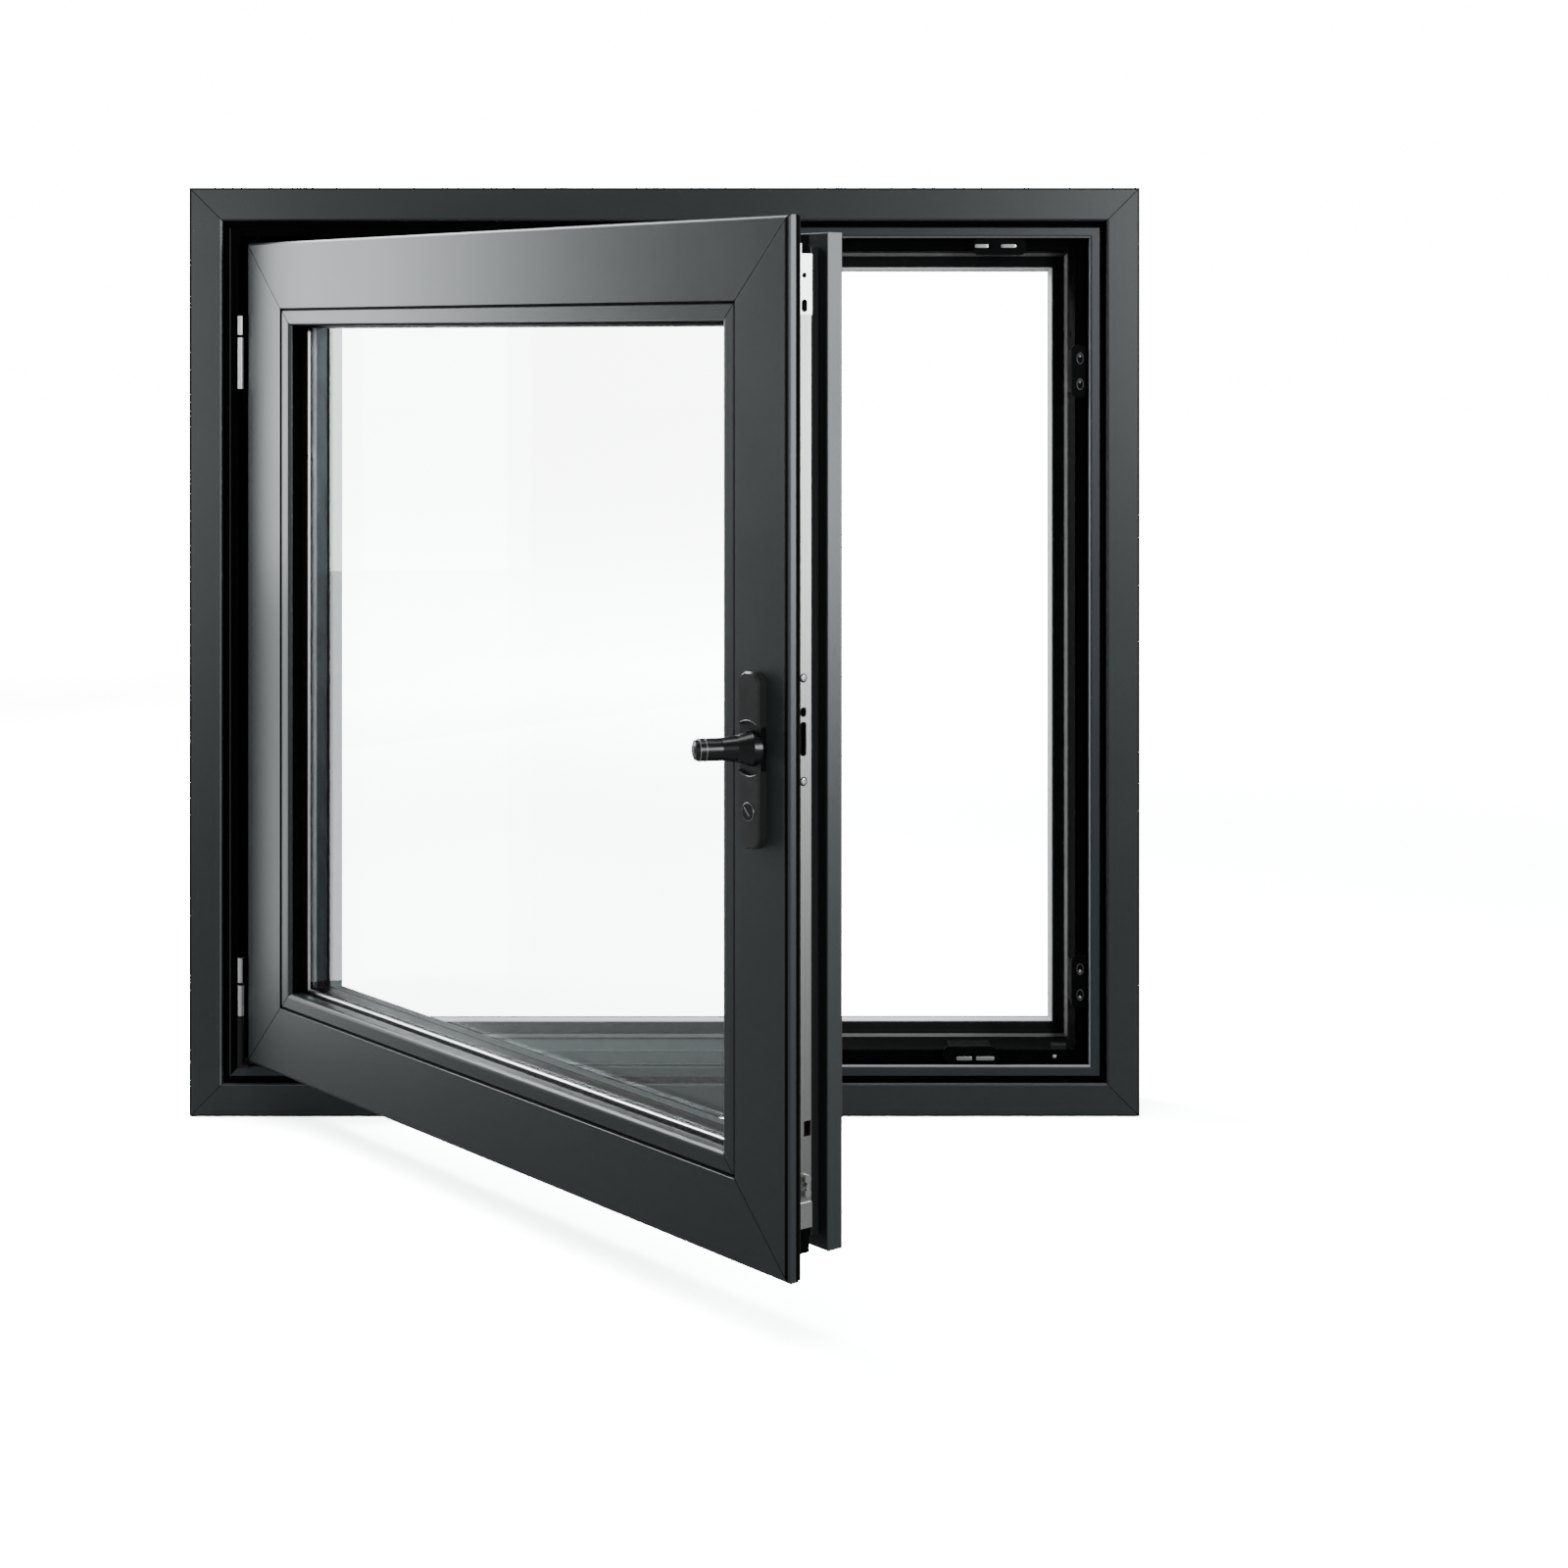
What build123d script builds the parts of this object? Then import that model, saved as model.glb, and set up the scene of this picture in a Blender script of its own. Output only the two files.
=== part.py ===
from build123d import *
import os

# Side-hung basement window in a fixed frame, with the sash swung open towards the room.
# Units are mm. +X to the right seen from the room, +Z up, -Y towards the room.
# The origin is at the middle of the sill's underside, at half the frame's depth.

# Overall frame
frame_width = 970.0
frame_height = 948.0
frame_depth = 80.0

# Frame profile: distances inward from the outer edge, and back from the room face
face_width = 34.0
groove_width = 6.0
groove_depth = 8.0
strip_width = 11.0
strip_setback = 5.0
ledge_width = 13.0
ledge_setback = 18.0
step_width = 4.0
step_height = 4.0
lip_width = 16.0
lip_thickness = 6.0
lip_chamfer = 3.5
face_round = 2.5
strip_round = 3.0
arris_round = 1.0

# Sash profile: distances inward from the leaf's edge, and back from its room face
leaf_gap = 6.0
leaf_setback = 2.0
flange_thickness = 11.0
flange_round = 3.0
stile_width = 68.0
edge_step = 15.0
channel_floor = 24.0
channel_front = 34.0
channel_back = 51.0
tail_step = 12.5
leaf_thickness = 67.0
glass_lip_width = 16.0
rebate_depth = 52.0
groove_chamfer = 1.6

# Glazing
glass_edge_gap = 4.0
pane_thickness = 4.0
pane_space = 16.0
spacer_width = 15.0
gasket_thickness = 3.0
gasket_cover = 6.0
gasket_reach = 1.5
bead_round = 4.0
bead_setback = 0.8

# Seals
seal_height = 3.5
seal_width = 7.0
seal_inset = 2.0
seal_round = 1.2

# Lock edge
faceplate_width = 16.0
faceplate_thickness = 2.5
faceplate_top_inset = 30.0
faceplate_bottom_inset = 36.0
slot_width = 6.0
slot_round = 2.5
gear_slot_rise = 7.5
gear_slot_length = 27.0
follower_slot_gap = 4.0
follower_slot_length = 7.5
cam_slot_height = 114.0
cam_slot_length = 12.0
cam_slot_width = 7.0
cam_slot_shift = 4.0
drive_upper_length = 48.0
drive_lower_length = 20.0
drive_thickness = 1.2
drive_hole_radius = 2.2
drive_hole_drop = 17.0
drive_slot_drop = 41.0
drive_slot_length = 10.0
drive_tongue_width = 5.0
drive_tongue_length = 8.0
cam_height = 69.5
cam_spacing = 11.0
cam_radius = 3.2
cam_middle_radius = 2.0
cam_shift = 2.0
cam_reach = 3.5

# Handle on the lock stile
handle_backset = 40.0
handle_drop = 3.0
handle_plate_width = 26.0
handle_plate_length = 140.0
handle_plate_thickness = 8.0
handle_plate_drop = 9.5
handle_plate_corner = 11.0
handle_plate_bevel = 1.6
dish_radius = 22.0
dish_depth = 2.5
lever_root_radius = 14.5
lever_radius = 9.0
lever_reach = 47.0
lever_lean = 24.0
lever_flare = 24.0
lever_flare_steps = 2
lever_cap_round = 4.5
lever_cap_steps = 2
keyhole_drop = 50.0
cylinder_radius = 6.6
cylinder_proud = 0.8
cylinder_clearance = 0.1
key_slot_width = 1.8
key_slot_length = 9.5
key_slot_depth = 3.0
key_slot_angle = 45.0

# Hinges on the left, with one axis in front of the strip
open_angle = 52.0
axis_inward = 53.0
axis_proud = 3.0
barrel_radius = 3.1
pin_radius = 2.1
pin_clearance = 0.05
pin_end = 1.5
barrel_gap = 3.0
arm_thickness = 3.2
upper_hinge_drop = 205.0
upper_frame_barrel = 52.0
upper_sash_barrel = 19.0
lower_hinge_height = 104.0
lower_frame_barrel = 31.0
lower_sash_barrel = 25.0
cover_length = 51.0
cover_radius = 3.4
cover_foot_reach = 8.0
cover_foot_height = 3.0

# Keeps on the rebate, and the block that lifts the closing sash
keep_length = 54.0
keep_thickness = 3.5
keep_side_gap = 0.5
keep_corner = 5.5
keep_tail = 22.0
keep_tail_thickness = 4.0
keep_eye_inward = 8.0
keep_eye_width = 5.6
keep_eye_length = 10.0
keep_eye_depth = 1.6
keep_eye_spacing = 26.5
upper_keep_drop = 187.5
lower_keep_height = 134.0
head_keep_inset = 141.0
sill_keep_inset = 172.0
run_up_inset = 16.0
run_up_length = 15.0
run_up_depth = 10.0
run_up_height = 5.0

# Fixing holes through the jambs
fixing_radius = 3.75
fixing_inset = 150.0
fixing_depth = 46.0

# Derived places
half_width = frame_width / 2
front_y = -frame_depth / 2
ledge_start = face_width + groove_width + strip_width
reveal_start = ledge_start + ledge_width
lip_start = reveal_start + step_width
lip_end = lip_start + lip_width
lip_front = frame_depth - lip_thickness
leaf_edge = ledge_start + leaf_gap
leaf_left = -half_width + leaf_edge
leaf_right = half_width - leaf_edge
leaf_bottom = leaf_edge
leaf_top = frame_height - leaf_edge
leaf_front = front_y + leaf_setback
handle_z = (leaf_bottom + leaf_top) / 2 - handle_drop
glass_front = rebate_depth - gasket_thickness - 2 * pane_thickness - pane_space
glass_back = rebate_depth - gasket_thickness
sight_line = stile_width + glass_lip_width
axis_x = -half_width + axis_inward
axis_y = front_y - axis_proud
swing = Pos(axis_x, axis_y, 0) * Rot(0, 0, -open_angle) * Pos(-axis_x, -axis_y, 0)


def section(points, rounds=(), bevels=()):
    """Return a closed face through the points, with the named corners rounded or bevelled."""
    face = Sketch() + make_face(Polyline(*points, close=True))
    for x, y, radius in rounds:
        corner = face.vertices().sort_by_distance(Vector(x, y, 0))[0]
        face = fillet(corner, radius)
    for x, y, size in bevels:
        corner = face.vertices().sort_by_distance(Vector(x, y, 0))[0]
        face = chamfer(corner, size)
    return face


def rails(profile, left, right, bottom, top, front):
    """Run a profile round a rectangle as four lengths mitred at 45 degrees.

    The profile's x is the distance inward from the rectangle, its y the distance back.
    """
    corners = {
        "sill": (right, bottom, (-1, 0, 0), (0, 0, 1), right - left),
        "head": (left, top, (1, 0, 0), (0, 0, -1), right - left),
        "hinge": (left, bottom, (0, 0, 1), (1, 0, 0), top - bottom),
        "lock": (right, top, (0, 0, -1), (-1, 0, 0), top - bottom),
    }
    deepest = min(right - left, top - bottom) / 2 - 1
    margin = frame_depth
    lengths = {}
    for name, (x, z, run, inward, length) in corners.items():
        start = Vector(x, front, z)
        bar = extrude(Plane(origin=start, x_dir=inward, z_dir=run) * profile, length)
        mitre = make_face(
            Polyline((0, 0), (length, 0), (length - deepest, deepest), (deepest, deepest), close=True)
        )
        cutter_plane = Plane(origin=start - Vector(0, margin, 0), x_dir=run, z_dir=(0, 1, 0))
        lengths[name] = bar & extrude(cutter_plane * mitre, 3 * margin)
    return lengths


def ring(profile, left, right, bottom, top, front):
    """Run a profile round a rectangle as one closed ring."""
    sides = rails(profile, left, right, bottom, top, front)
    return sides["sill"] + sides["head"] + sides["hinge"] + sides["lock"]


def block(x0, x1, y0, y1, z0, z1):
    """Return a box between two corners."""
    middle = Pos((x0 + x1) / 2, (y0 + y1) / 2, (z0 + z1) / 2)
    return middle * Box(x1 - x0, y1 - y0, z1 - z0)


def rod(x, y, z0, z1, radius):
    """Return an upright cylinder."""
    return Pos(x, y, (z0 + z1) / 2) * Cylinder(radius, z1 - z0)


def frame_rails():
    """Make the four grooved and stepped lengths of the fixed frame."""
    strip_start = face_width + groove_width
    points = [
        (0, 0),
        (face_width, 0),
        (face_width, groove_depth),
        (strip_start, groove_depth),
        (strip_start, strip_setback),
        (ledge_start, strip_setback),
        (ledge_start, ledge_setback),
        (reveal_start, ledge_setback),
        (reveal_start, lip_front - step_height),
        (lip_start, lip_front - step_height),
        (lip_start, lip_front),
        (lip_end, lip_front),
        (lip_end, frame_depth),
        (0, frame_depth),
    ]
    rounds = [
        (0, 0, arris_round),
        (face_width, 0, face_round),
        (strip_start, strip_setback, arris_round),
        (ledge_start, strip_setback, strip_round),
        (reveal_start, ledge_setback, arris_round),
    ]
    bevels = [(lip_end, lip_front, lip_chamfer)]
    profile = section(points, rounds, bevels)
    return rails(profile, -half_width, half_width, 0, frame_height, front_y)


def frame_lip_seal():
    """Make the soft seal that lies on the frame's rear lip."""
    width = lip_width - lip_chamfer - arris_round
    height = step_height - arris_round / 2
    points = [
        (lip_start, lip_front),
        (lip_start, lip_front - height),
        (lip_start + width, lip_front - height / 2),
        (lip_start + width, lip_front),
    ]
    profile = section(points)
    return ring(profile, -half_width, half_width, 0, frame_height, front_y)


def sash_rails():
    """Make the four lengths of the sash, with the lock groove and the glazing rebate."""
    points = [
        (0, 0),
        (stile_width, 0),
        (stile_width, rebate_depth),
        (sight_line, rebate_depth),
        (sight_line, leaf_thickness),
        (tail_step, leaf_thickness),
        (tail_step, channel_back),
        (channel_floor, channel_back),
        (channel_floor, channel_front),
        (edge_step, channel_front),
        (edge_step, flange_thickness),
        (0, flange_thickness),
    ]
    rounds = [
        (0, 0, flange_round),
        (sight_line, rebate_depth, arris_round),
        (sight_line, leaf_thickness, arris_round),
        (tail_step, leaf_thickness, arris_round),
        (tail_step, channel_back, arris_round),
        (0, flange_thickness, arris_round),
    ]
    bevels = [(stile_width, 0, groove_chamfer)]
    profile = section(points, rounds, bevels)
    return rails(profile, leaf_left, leaf_right, leaf_bottom, leaf_top, leaf_front)


def glazing_beads():
    """Make the four beads that hold the glass from the room side."""
    points = [
        (stile_width, bead_setback),
        (sight_line, bead_setback),
        (sight_line, glass_front - gasket_thickness),
        (stile_width, glass_front - gasket_thickness),
    ]
    rounds = [(sight_line, bead_setback, bead_round)]
    bevels = [(stile_width, bead_setback, groove_chamfer)]
    profile = section(points, rounds, bevels)
    return rails(profile, leaf_left, leaf_right, leaf_bottom, leaf_top, leaf_front)


def glazing_gasket(depth):
    """Make one glazing gasket ring, starting at a depth behind the leaf's room face."""
    points = [
        (sight_line - gasket_cover, depth),
        (sight_line + gasket_reach, depth),
        (sight_line + gasket_reach, depth + gasket_thickness),
        (sight_line - gasket_cover, depth + gasket_thickness),
    ]
    profile = section(points)
    return ring(profile, leaf_left, leaf_right, leaf_bottom, leaf_top, leaf_front)


def glass_pane(depth):
    """Make one pane of the sealed unit."""
    inset = stile_width + glass_edge_gap
    return block(
        leaf_left + inset,
        leaf_right - inset,
        leaf_front + depth,
        leaf_front + depth + pane_thickness,
        leaf_bottom + inset,
        leaf_top - inset,
    )


def glass_spacer():
    """Make the spacer bar between the two panes."""
    inset = stile_width + glass_edge_gap
    start = glass_front + pane_thickness
    points = [
        (inset, start),
        (inset + spacer_width, start),
        (inset + spacer_width, start + pane_space),
        (inset, start + pane_space),
    ]
    return ring(section(points), leaf_left, leaf_right, leaf_bottom, leaf_top, leaf_front)


def overlap_seal():
    """Make the soft seal behind the sash flange, which closes on the frame's ledge."""
    points = [
        (seal_inset, flange_thickness),
        (seal_inset + seal_width, flange_thickness),
        (seal_inset + seal_width, flange_thickness + seal_height / 2),
        (seal_inset + seal_width / 2, flange_thickness + seal_height),
        (seal_inset, flange_thickness + seal_height / 2),
    ]
    rounds = [(seal_inset + seal_width / 2, flange_thickness + seal_height, seal_round)]
    profile = section(points, rounds)
    return ring(profile, leaf_left, leaf_right, leaf_bottom, leaf_top, leaf_front)


def edge_plate(bottom, top, thickness):
    """Make one length of steel plate lying on the lock edge."""
    x = leaf_right - edge_step
    y = leaf_front + channel_front
    return block(x, x + thickness, y - faceplate_width, y, bottom, top)


def edge_cutter(shape, height, shift=0.0):
    """Return a cutter of a shape that runs through the lock edge's plates, shifted back by a distance."""
    y = leaf_front + channel_front - faceplate_width / 2 + shift
    plane = Plane(origin=(leaf_right - edge_step, y, height), x_dir=(0, 1, 0), z_dir=(1, 0, 0))
    return extrude(plane * shape, faceplate_width)


def lock_faceplate():
    """Make the long steel strip on the lock edge, with its gear and cam slots."""
    bottom = leaf_bottom + faceplate_bottom_inset + drive_lower_length
    top = leaf_top - faceplate_top_inset - drive_upper_length
    gear = handle_z + gear_slot_rise
    follower = gear + gear_slot_length / 2 + follower_slot_gap + follower_slot_length / 2
    plate = edge_plate(bottom, top, faceplate_thickness)
    plate -= edge_cutter(RectangleRounded(slot_width, gear_slot_length, slot_round), gear)
    plate -= edge_cutter(RectangleRounded(slot_width, follower_slot_length, slot_round), follower)
    cam_slot = Rectangle(cam_slot_width, cam_slot_length)
    plate -= edge_cutter(cam_slot, leaf_bottom + cam_slot_height, cam_slot_shift)
    return plate


def corner_drives():
    """Make the thicker plates at both ends of the lock edge."""
    top = leaf_top - faceplate_top_inset
    bottom = leaf_bottom + faceplate_bottom_inset
    thickness = faceplate_thickness + drive_thickness
    upper = edge_plate(top - drive_upper_length, top, thickness)
    upper -= edge_cutter(Circle(drive_hole_radius), top - drive_hole_drop)
    slot = RectangleRounded(slot_width, drive_slot_length, slot_round)
    upper -= edge_cutter(slot, top - drive_slot_drop)
    x = leaf_right - edge_step
    y = leaf_front + channel_front - faceplate_width
    upper += block(x, x + thickness, y, y + drive_tongue_width, top, top + drive_tongue_length)
    lower = edge_plate(bottom, bottom + drive_lower_length, thickness)
    return {"corner_drive_upper": upper, "corner_drive_lower": lower}


def locking_cams():
    """Make the three round studs that stand on the lock edge near its foot."""
    x = leaf_right - edge_step + faceplate_thickness
    y = leaf_front + channel_front - faceplate_width / 2 + cam_shift
    cams = Sketch() + [Pos(0, side * cam_spacing / 2) * Circle(cam_radius) for side in (-1, 1)]
    cams += Circle(cam_middle_radius)
    plane = Plane(origin=(x, y, leaf_bottom + cam_height), x_dir=(0, 1, 0), z_dir=(1, 0, 0))
    return extrude(plane * cams, cam_reach)


def handle():
    """Make the handle's plate, its short lever and its key cylinder."""
    centre_x = leaf_right - handle_backset
    outward = Plane(origin=(centre_x, leaf_front, handle_z), x_dir=(1, 0, 0), z_dir=(0, -1, 0))
    outline = Pos(0, -handle_plate_drop) * RectangleRounded(
        handle_plate_width, handle_plate_length, handle_plate_corner
    )
    plate = extrude(outline, handle_plate_thickness)
    plate = chamfer(plate.faces().sort_by(Axis.Z)[-1].edges(), handle_plate_bevel)
    floor = handle_plate_thickness - dish_depth
    plate -= Pos(0, 0, floor) * extrude(Circle(dish_radius), handle_plate_thickness)
    keyhole = Pos(0, -keyhole_drop)
    plate -= keyhole * extrude(Circle(cylinder_radius + cylinder_clearance), handle_plate_thickness)

    outline = [(0, -lever_root_radius), (lever_root_radius, -lever_root_radius)]
    for step in range(lever_flare_steps + 1):
        share = step / lever_flare_steps
        swell = (lever_root_radius - lever_radius) * (1 - share) ** 2
        outline.append((lever_radius + swell, lever_flare * share))
    cap_start = lever_reach - lever_cap_round
    for step in range(lever_cap_steps + 1):
        turn = Vector(1, 0).rotate(Axis.Z, 90 * step / lever_cap_steps) * lever_cap_round
        outline.append((lever_radius - lever_cap_round + turn.X, cap_start + turn.Y))
    outline.append((0, lever_reach))
    half = make_face(Polyline(*outline, close=True))
    lever = revolve(Plane.XZ * half, Axis.Z)
    lever = Pos(0, 0, floor) * Rot(0, -lever_lean, 0) * lever
    lever -= Pos(0, 0, floor - lever_reach) * extrude(Circle(dish_radius), lever_reach)

    cylinder = keyhole * extrude(Circle(cylinder_radius), handle_plate_thickness + cylinder_proud)
    slot_floor = handle_plate_thickness + cylinder_proud - key_slot_depth
    slot = Rot(0, 0, key_slot_angle) * Rectangle(key_slot_width, key_slot_length)
    cylinder -= keyhole * Pos(0, 0, slot_floor) * extrude(slot, handle_plate_thickness)
    return {
        "handle_plate": outward * plate,
        "handle_lever": outward * lever,
        "handle_cylinder": outward * cylinder,
    }


def barrel(bottom, length):
    """Make one hinge barrel, bored for the pin."""
    bore = rod(axis_x, axis_y, bottom, bottom + length, pin_radius + pin_clearance)
    return rod(axis_x, axis_y, bottom, bottom + length, barrel_radius) - bore


def frame_web(bottom, top):
    """Make the flat arm that runs back from the hinge's axis, beside the strip, to the ledge."""
    x = -half_width + ledge_start
    return block(x, x + arm_thickness, axis_y, front_y + ledge_setback, bottom, top)


def frame_arm(bottom, length):
    """Make a frame-side barrel with its arm in the rebate."""
    bore = rod(axis_x, axis_y, bottom, bottom + length, pin_radius + pin_clearance)
    return barrel(bottom, length) + (frame_web(bottom, bottom + length) - bore)


def sash_arm(bottom, length):
    """Make a sash-side barrel with its arm against the leaf's edge."""
    back = leaf_front + flange_thickness
    bore = rod(axis_x, axis_y, bottom, bottom + length, pin_radius + pin_clearance)
    arm = block(leaf_left - arm_thickness, leaf_left, axis_y, back, bottom, bottom + length)
    return barrel(bottom, length) + (arm - bore)


def hinge(name, bottom, frame_length, sash_length):
    """Make one hinge: the frame barrel, the sash barrel above it, and the pin through both."""
    sash_bottom = bottom + frame_length + barrel_gap
    top = sash_bottom + sash_length
    parts[name + "_frame_arm"] = frame_arm(bottom, frame_length)
    parts[name + "_pin"] = rod(axis_x, axis_y, bottom - pin_end, top + pin_end, pin_radius)
    sash[name + "_sash_arm"] = sash_arm(sash_bottom, sash_length)


def hinge_cover():
    """Make the plastic cover over the foot of the lower hinge."""
    top = lower_hinge_height - pin_end
    bottom = top - cover_length
    foot_top = bottom + cover_foot_height
    back = axis_y + cover_radius
    foot = block(axis_x, axis_x + cover_foot_reach, axis_y - cover_radius, back, bottom, foot_top)
    return rod(axis_x, axis_y, bottom, top, cover_radius) + frame_web(bottom, top) + foot


def keep(x, z, inward):
    """Make one keep: a plate on the ledge with two sunk eyes, and a tail on the reveal.

    The point is on the ledge where it meets the strip, and inward leads to the reveal.
    """
    ledge = Plane(origin=(x, front_y + ledge_setback, z), x_dir=inward, z_dir=(0, -1, 0))
    width = ledge_width + keep_tail_thickness - keep_side_gap
    middle = keep_side_gap + width / 2
    plate = extrude(Pos(middle, 0) * RectangleRounded(width, keep_length, keep_corner), keep_thickness)
    eye = SlotOverall(keep_eye_length, keep_eye_width, rotation=90)
    for side in (-1, 1):
        place = Pos(keep_eye_inward, side * keep_eye_spacing / 2, keep_thickness - keep_eye_depth)
        plate -= place * extrude(eye, keep_thickness)
    tail_length = keep_length - 2 * keep_corner
    tail = extrude(
        Pos(ledge_width + keep_tail_thickness / 2, 0) * Rectangle(keep_tail_thickness, tail_length),
        -keep_tail,
    )
    return ledge * (plate + tail)


def run_up_block():
    """Make the small block on the sill that lifts the closing sash."""
    top = reveal_start + run_up_height
    y = front_y + ledge_setback + arris_round
    left = half_width - reveal_start - run_up_inset - run_up_length / 2
    piece = block(left, left + run_up_length, y, y + run_up_depth, reveal_start, top)
    return chamfer(piece.edges().filter_by(Axis.X).sort_by(Axis.Z)[-2:], arris_round)


parts = {}
sash = {}

for name, solid in frame_rails().items():
    label = {
        "hinge": "frame_hinge_jamb",
        "lock": "frame_lock_jamb",
        "head": "frame_head",
        "sill": "frame_sill",
    }[name]
    parts[label] = solid
for jamb, x in (("frame_hinge_jamb", -half_width), ("frame_lock_jamb", half_width - lip_end)):
    for side in (-1, 1):
        height = frame_height / 2 + side * (frame_height / 2 - fixing_inset)
        middle = Pos(x + lip_end / 2, front_y + fixing_depth, height)
        parts[jamb] -= middle * Rot(0, 90, 0) * Cylinder(fixing_radius, lip_end)
parts["frame_lip_seal"] = frame_lip_seal()

for name, solid in sash_rails().items():
    label = {
        "hinge": "sash_hinge_stile",
        "lock": "sash_lock_stile",
        "head": "sash_top_rail",
        "sill": "sash_bottom_rail",
    }[name]
    sash[label] = solid
for name, solid in glazing_beads().items():
    label = {"hinge": "hinge_side", "lock": "lock_side", "head": "top", "sill": "bottom"}[name]
    sash["glazing_bead_" + label] = solid
sash["glazing_gasket_inner"] = glazing_gasket(glass_front - gasket_thickness)
sash["glazing_gasket_outer"] = glazing_gasket(glass_back)
sash["glass_pane_inner"] = glass_pane(glass_front)
sash["glass_pane_outer"] = glass_pane(glass_back - pane_thickness)
sash["glass_spacer"] = glass_spacer()
sash["sash_overlap_seal"] = overlap_seal()
sash["lock_faceplate"] = lock_faceplate()
sash["locking_cams"] = locking_cams()
sash.update(corner_drives())
sash.update(handle())

hinge("hinge_upper", frame_height - upper_hinge_drop, upper_frame_barrel, upper_sash_barrel)
hinge("hinge_lower", lower_hinge_height, lower_frame_barrel, lower_sash_barrel)
parts["hinge_lower_cover"] = hinge_cover()

jamb_edge = half_width - ledge_start
parts["keep_lock_upper"] = keep(jamb_edge, frame_height - upper_keep_drop, (-1, 0, 0))
parts["keep_lock_lower"] = keep(jamb_edge, lower_keep_height, (-1, 0, 0))
parts["keep_head"] = keep(half_width - head_keep_inset, frame_height - ledge_start, (0, 0, -1))
parts["keep_sill"] = keep(half_width - sill_keep_inset, ledge_start, (0, 0, 1))
parts["run_up_block"] = run_up_block()

for name, solid in sash.items():
    parts[name] = swing * solid

os.makedirs("parts", exist_ok=True)
for name, solid in parts.items():
    solid.label = name
    export_step(solid, f"parts/{name}.step")
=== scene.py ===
"""Looks of a side-hung basement window: finishes, small fittings, studio and camera."""

import logging
import math
from dataclasses import dataclass, field
from enum import Enum

import bpy
import numpy as np
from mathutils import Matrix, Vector


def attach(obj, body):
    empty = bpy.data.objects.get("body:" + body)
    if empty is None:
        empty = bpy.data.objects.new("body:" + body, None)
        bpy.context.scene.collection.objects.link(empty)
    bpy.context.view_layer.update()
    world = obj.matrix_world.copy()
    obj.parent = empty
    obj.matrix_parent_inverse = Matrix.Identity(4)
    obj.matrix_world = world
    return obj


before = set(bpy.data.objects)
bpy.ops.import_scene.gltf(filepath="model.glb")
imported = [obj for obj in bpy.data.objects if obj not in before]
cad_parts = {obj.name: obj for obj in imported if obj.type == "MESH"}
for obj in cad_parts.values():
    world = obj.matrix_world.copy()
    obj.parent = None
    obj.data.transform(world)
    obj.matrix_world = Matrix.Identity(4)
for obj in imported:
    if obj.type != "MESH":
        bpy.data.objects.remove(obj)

log = logging.getLogger("basement_window")

MM = 0.001
WIDTH = 970 * MM
HEIGHT = 948 * MM
DEPTH = 80 * MM
LEAF_EDGE = 57 * MM
LEAF_SETBACK = 2 * MM
LEDGE_SETBACK = 18 * MM
LEDGE_START = 51 * MM
HINGE_INWARD = 53 * MM
HINGE_PROUD = 3 * MM
OPEN_ANGLE = math.radians(52)
HINGE_X = -WIDTH / 2 + HINGE_INWARD
HINGE_Y = -DEPTH / 2 - HINGE_PROUD
LEAF_RIGHT = WIDTH / 2 - LEAF_EDGE
LEAF_FRONT = -DEPTH / 2 + LEAF_SETBACK

Triple = tuple[float, float, float]

BLACK = (0.004, 0.004, 0.004)
LAMP_COLOUR = (0.93, 0.97, 1.0)
BUMP_DISTANCE = 0.0002
SHARP_ANGLE = math.radians(40)
HANDLE_X = LEAF_RIGHT - 40 * MM
HANDLE_Z = 471 * MM

# A Mix node's colour sockets share their names with its other sockets, so they go by index.
MIX_FIRST, MIX_SECOND, MIX_RESULT = 6, 7, 2


class Slot(Enum):
    """Names of the record's material slots."""

    SEAL = "seal"
    STEEL = "steel"
    HANDLE = "handle_black"
    KEEP = "keep_black"


class Side(Enum):
    """What a pattern or piece belongs to: the fixed frame or the swung sash."""

    FRAME = "frame"
    SASH = "sash"


class Region(Enum):
    """Which part of a ring of profiles a band covers."""

    ALL = "all"
    RIGHT = "right of the open sash"
    LEFT = "behind the open sash"
    TOP = "top rail"
    HINGE = "hinge stile"
    BOTTOM = "bottom rail"
    LOCK = "lock jamb or stile"
    SILL_LEFT = "sill behind the open sash"


class Facing(Enum):
    """Which way a small piece looks, with its own right and up, before the sash is swung."""

    ROOM = ((1, 0, 0), (0, 0, 1), (0, -1, 0))
    LOCK_EDGE = ((0, 1, 0), (0, 0, 1), (1, 0, 0))


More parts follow.
